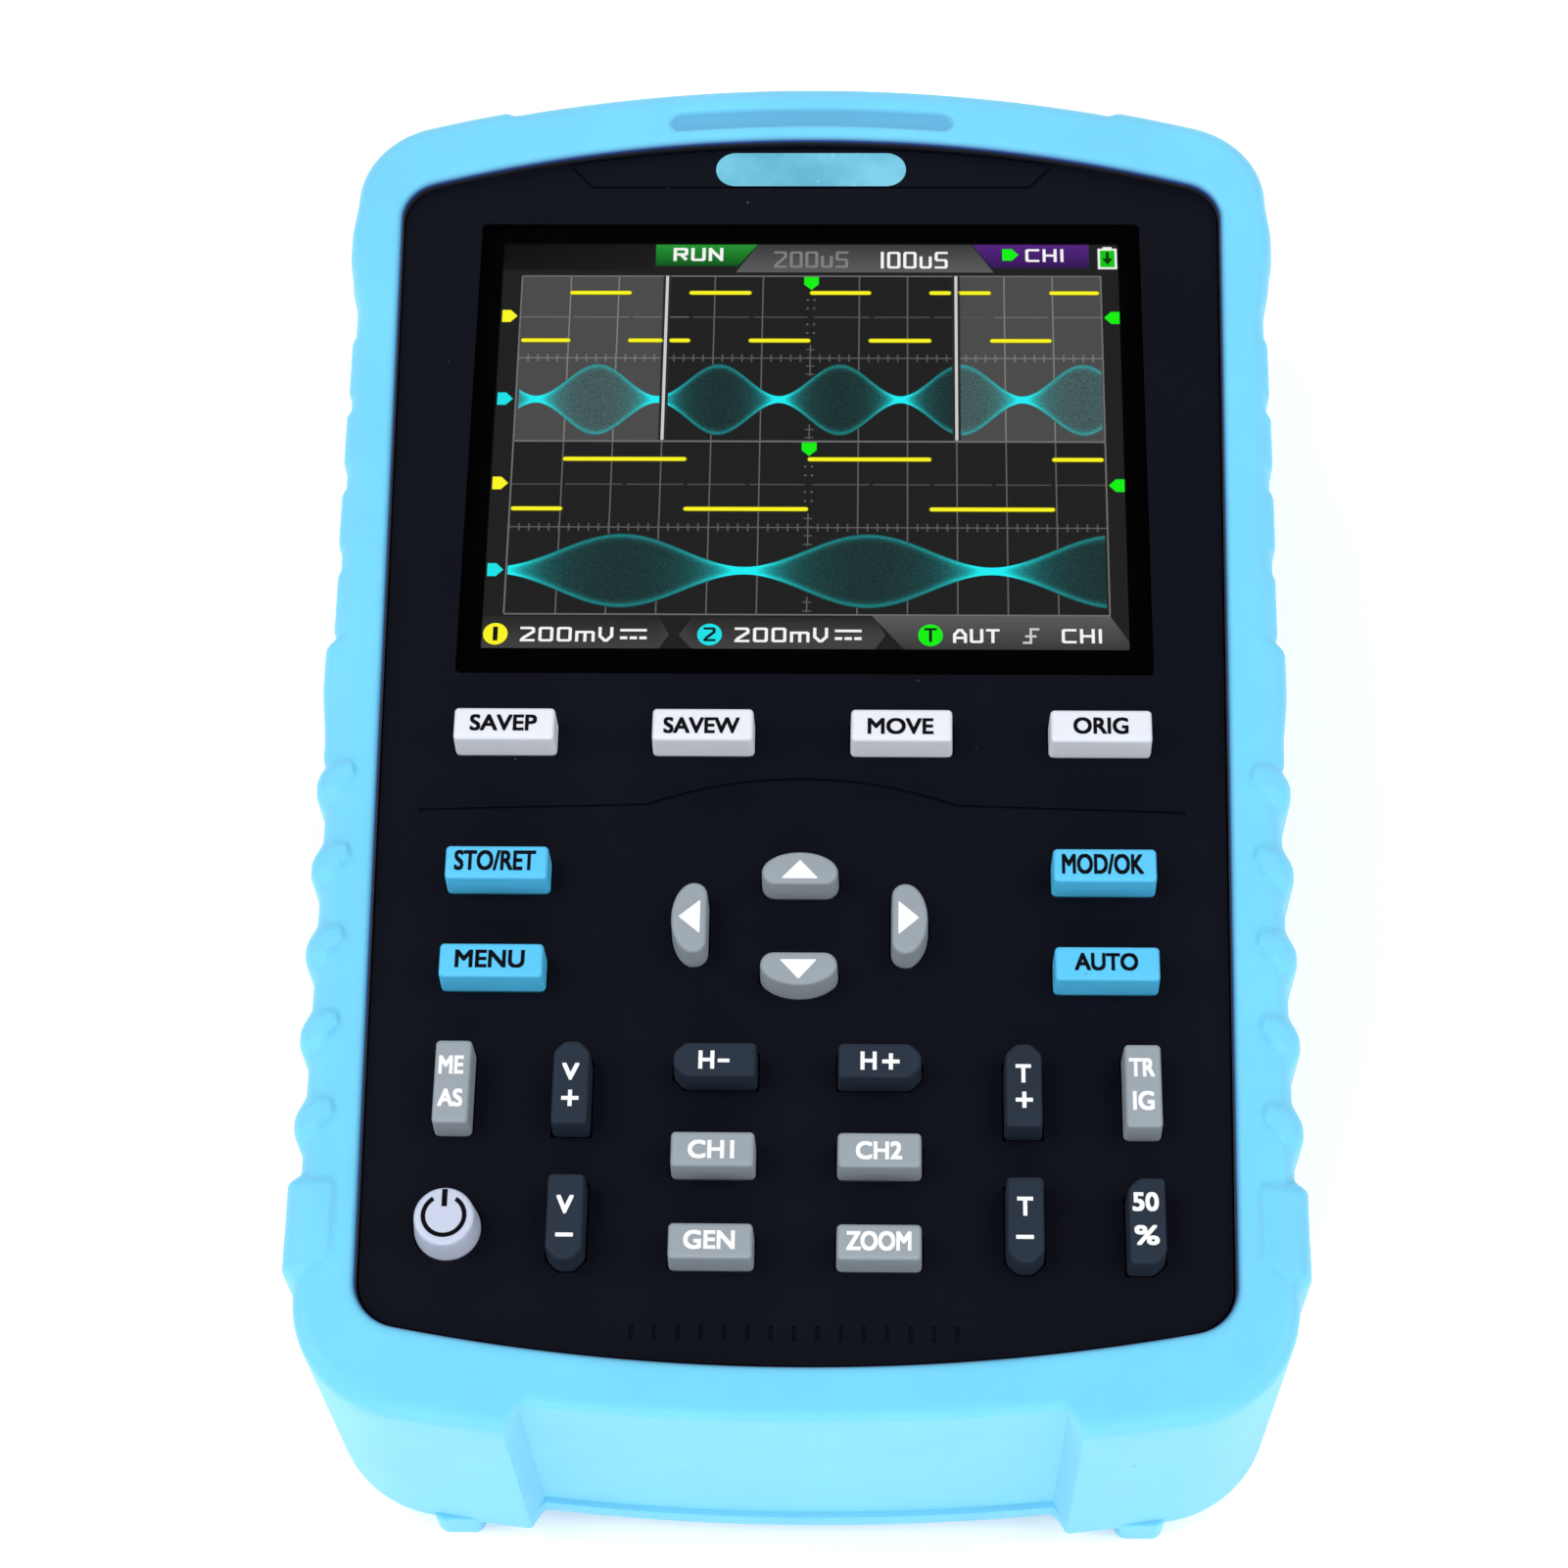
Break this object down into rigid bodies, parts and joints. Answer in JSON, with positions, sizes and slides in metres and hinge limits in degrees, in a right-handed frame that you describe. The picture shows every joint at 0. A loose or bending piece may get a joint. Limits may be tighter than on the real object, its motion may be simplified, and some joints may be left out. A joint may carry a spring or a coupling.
{
  "type": "handheld oscilloscope",
  "caption": "Handheld oscilloscope in a ribbed rubber boot, with a colour display, a silicone keypad, sockets in the end wall and a folding stand on the back.",
  "frame": {"origin": "under the middle of the whole object, at the level of its feet", "axes": "+X to the right of the face, +Y towards the end with the sockets, +Z out of the face; it lies on its back"},
  "size_m": [0.0866, 0.1382, 0.0355],
  "materials": {
    "boot_rubber": "matte soft rubber",
    "panel_plastic": "satin moulded plastic",
    "rear_plastic": "finely textured moulded plastic",
    "pad_rubber": "matte",
    "steel": "bright",
    "lens": "clear gloss",
    "black_tape": "matte foam",
    "display": "dark display",
    "board_green": "solder mask",
    "gold": "gold plate",
    "keypad_grey": "matte",
    "badge_blue": "satin",
    "chip_black": "matte",
    "battery_wrap": "shrink film",
    "white_plastic": "matte",
    "lead_red": "soft insulation",
    "nickel": "nickel plate",
    "key_white": "matte silicone",
    "key_blue": "matte silicone",
    "key_grey": "matte silicone",
    "key_slate": "matte silicone",
    "key_power": "matte silicone"
  },
  "bodies": {
    "instrument": {"badge_inlay": "badge_blue", "battery_connector": "white_plastic", "battery_leads": "lead_red", "battery_pack": "battery_wrap", "battery_tape": "black_tape", "bnc_bodies": "nickel", "bnc_contacts": "gold", "bnc_insulators": "white_plastic", "bnc_nuts": "nickel", "bnc_washers": "nickel", "board_screws": "steel", "case_screws": "steel", "display_foam": "black_tape", "front_shell": "panel_plastic", "key_contacts": "gold", "keypad_mat": "keypad_grey", "lcd_frame": "steel", "lcd_glass": "display", "main_board": "board_green", "memory_chips": "chip_black", "processor_chip": "chip_black", "protective_boot": "boot_rubber", "rear_shell": "rear_plastic", "screen_gasket": "black_tape", "screen_lens": "lens", "shield_cans": "steel", "sounder": "chip_black", "stand_pin": "steel", "usb_socket": "steel", "usb_tongue": "chip_black"},
    "stand": {"kickstand": "rear_plastic", "stand_pad": "pad_rubber"},
    "key_auto_cap": {"key_auto": "key_blue"},
    "key_ch1_cap": {"key_ch1": "key_grey"},
    "key_ch2_cap": {"key_ch2": "key_grey"},
    "key_down_cap": {"key_down": "key_grey"},
    "key_gen_cap": {"key_gen": "key_grey"},
    "key_h_down_cap": {"key_h_down": "key_slate"},
    "key_h_up_cap": {"key_h_up": "key_slate"},
    "key_left_cap": {"key_left": "key_grey"},
    "key_level_cap": {"key_level": "key_slate"},
    "key_meas_cap": {"key_meas": "key_grey"},
    "key_menu_cap": {"key_menu": "key_blue"},
    "key_mod_ok_cap": {"key_mod_ok": "key_blue"},
    "key_move_cap": {"key_move": "key_white"},
    "key_orig_cap": {"key_orig": "key_white"},
    "key_power_cap": {"key_power": "key_power"},
    "key_right_cap": {"key_right": "key_grey"},
    "key_savep_cap": {"key_savep": "key_white"},
    "key_savew_cap": {"key_savew": "key_white"},
    "key_sto_ret_cap": {"key_sto_ret": "key_blue"},
    "key_t_down_cap": {"key_t_down": "key_slate"},
    "key_t_up_cap": {"key_t_up": "key_slate"},
    "key_trig_cap": {"key_trig": "key_grey"},
    "key_up_cap": {"key_up": "key_grey"},
    "key_v_down_cap": {"key_v_down": "key_slate"},
    "key_v_up_cap": {"key_v_up": "key_slate"},
    "key_zoom_cap": {"key_zoom": "key_grey"}
  },
  "joints": [
    {"name": "stand_hinge", "type": "hinge", "parent": "instrument", "child": "stand", "pos_m": [0, 0.03049, 0.0066], "axis": [1, 0, 0], "range_deg": [0, 65]},
    {"name": "key_auto_press", "type": "slide", "parent": "instrument", "child": "key_auto_cap", "axis": [0, 0, -1], "range_m": [0, 0.0008], "stiffness_N_per_m": 800},
    {"name": "key_ch1_press", "type": "slide", "parent": "instrument", "child": "key_ch1_cap", "axis": [0, 0, -1], "range_m": [0, 0.0008], "stiffness_N_per_m": 800},
    {"name": "key_ch2_press", "type": "slide", "parent": "instrument", "child": "key_ch2_cap", "axis": [0, 0, -1], "range_m": [0, 0.0008], "stiffness_N_per_m": 800},
    {"name": "key_down_press", "type": "slide", "parent": "instrument", "child": "key_down_cap", "axis": [0, 0, -1], "range_m": [0, 0.0008], "stiffness_N_per_m": 800},
    {"name": "key_gen_press", "type": "slide", "parent": "instrument", "child": "key_gen_cap", "axis": [0, 0, -1], "range_m": [0, 0.0008], "stiffness_N_per_m": 800},
    {"name": "key_h_down_press", "type": "slide", "parent": "instrument", "child": "key_h_down_cap", "axis": [0, 0, -1], "range_m": [0, 0.0008], "stiffness_N_per_m": 800},
    {"name": "key_h_up_press", "type": "slide", "parent": "instrument", "child": "key_h_up_cap", "axis": [0, 0, -1], "range_m": [0, 0.0008], "stiffness_N_per_m": 800},
    {"name": "key_left_press", "type": "slide", "parent": "instrument", "child": "key_left_cap", "axis": [0, 0, -1], "range_m": [0, 0.0008], "stiffness_N_per_m": 800},
    {"name": "key_level_press", "type": "slide", "parent": "instrument", "child": "key_level_cap", "axis": [0, 0, -1], "range_m": [0, 0.0008], "stiffness_N_per_m": 800},
    {"name": "key_meas_press", "type": "slide", "parent": "instrument", "child": "key_meas_cap", "axis": [0, 0, -1], "range_m": [0, 0.0008], "stiffness_N_per_m": 800},
    {"name": "key_menu_press", "type": "slide", "parent": "instrument", "child": "key_menu_cap", "axis": [0, 0, -1], "range_m": [0, 0.0008], "stiffness_N_per_m": 800},
    {"name": "key_mod_ok_press", "type": "slide", "parent": "instrument", "child": "key_mod_ok_cap", "axis": [0, 0, -1], "range_m": [0, 0.0008], "stiffness_N_per_m": 800},
    {"name": "key_move_press", "type": "slide", "parent": "instrument", "child": "key_move_cap", "axis": [0, 0, -1], "range_m": [0, 0.0008], "stiffness_N_per_m": 800},
    {"name": "key_orig_press", "type": "slide", "parent": "instrument", "child": "key_orig_cap", "axis": [0, 0, -1], "range_m": [0, 0.0008], "stiffness_N_per_m": 800},
    {"name": "key_power_press", "type": "slide", "parent": "instrument", "child": "key_power_cap", "axis": [0, 0, -1], "range_m": [0, 0.0008], "stiffness_N_per_m": 800},
    {"name": "key_right_press", "type": "slide", "parent": "instrument", "child": "key_right_cap", "axis": [0, 0, -1], "range_m": [0, 0.0008], "stiffness_N_per_m": 800},
    {"name": "key_savep_press", "type": "slide", "parent": "instrument", "child": "key_savep_cap", "axis": [0, 0, -1], "range_m": [0, 0.0008], "stiffness_N_per_m": 800},
    {"name": "key_savew_press", "type": "slide", "parent": "instrument", "child": "key_savew_cap", "axis": [0, 0, -1], "range_m": [0, 0.0008], "stiffness_N_per_m": 800},
    {"name": "key_sto_ret_press", "type": "slide", "parent": "instrument", "child": "key_sto_ret_cap", "axis": [0, 0, -1], "range_m": [0, 0.0008], "stiffness_N_per_m": 800},
    {"name": "key_t_down_press", "type": "slide", "parent": "instrument", "child": "key_t_down_cap", "axis": [0, 0, -1], "range_m": [0, 0.0008], "stiffness_N_per_m": 800},
    {"name": "key_t_up_press", "type": "slide", "parent": "instrument", "child": "key_t_up_cap", "axis": [0, 0, -1], "range_m": [0, 0.0008], "stiffness_N_per_m": 800},
    {"name": "key_trig_press", "type": "slide", "parent": "instrument", "child": "key_trig_cap", "axis": [0, 0, -1], "range_m": [0, 0.0008], "stiffness_N_per_m": 800},
    {"name": "key_up_press", "type": "slide", "parent": "instrument", "child": "key_up_cap", "axis": [0, 0, -1], "range_m": [0, 0.0008], "stiffness_N_per_m": 800},
    {"name": "key_v_down_press", "type": "slide", "parent": "instrument", "child": "key_v_down_cap", "axis": [0, 0, -1], "range_m": [0, 0.0008], "stiffness_N_per_m": 800},
    {"name": "key_v_up_press", "type": "slide", "parent": "instrument", "child": "key_v_up_cap", "axis": [0, 0, -1], "range_m": [0, 0.0008], "stiffness_N_per_m": 800},
    {"name": "key_zoom_press", "type": "slide", "parent": "instrument", "child": "key_zoom_cap", "axis": [0, 0, -1], "range_m": [0, 0.0008], "stiffness_N_per_m": 800}
  ]
}
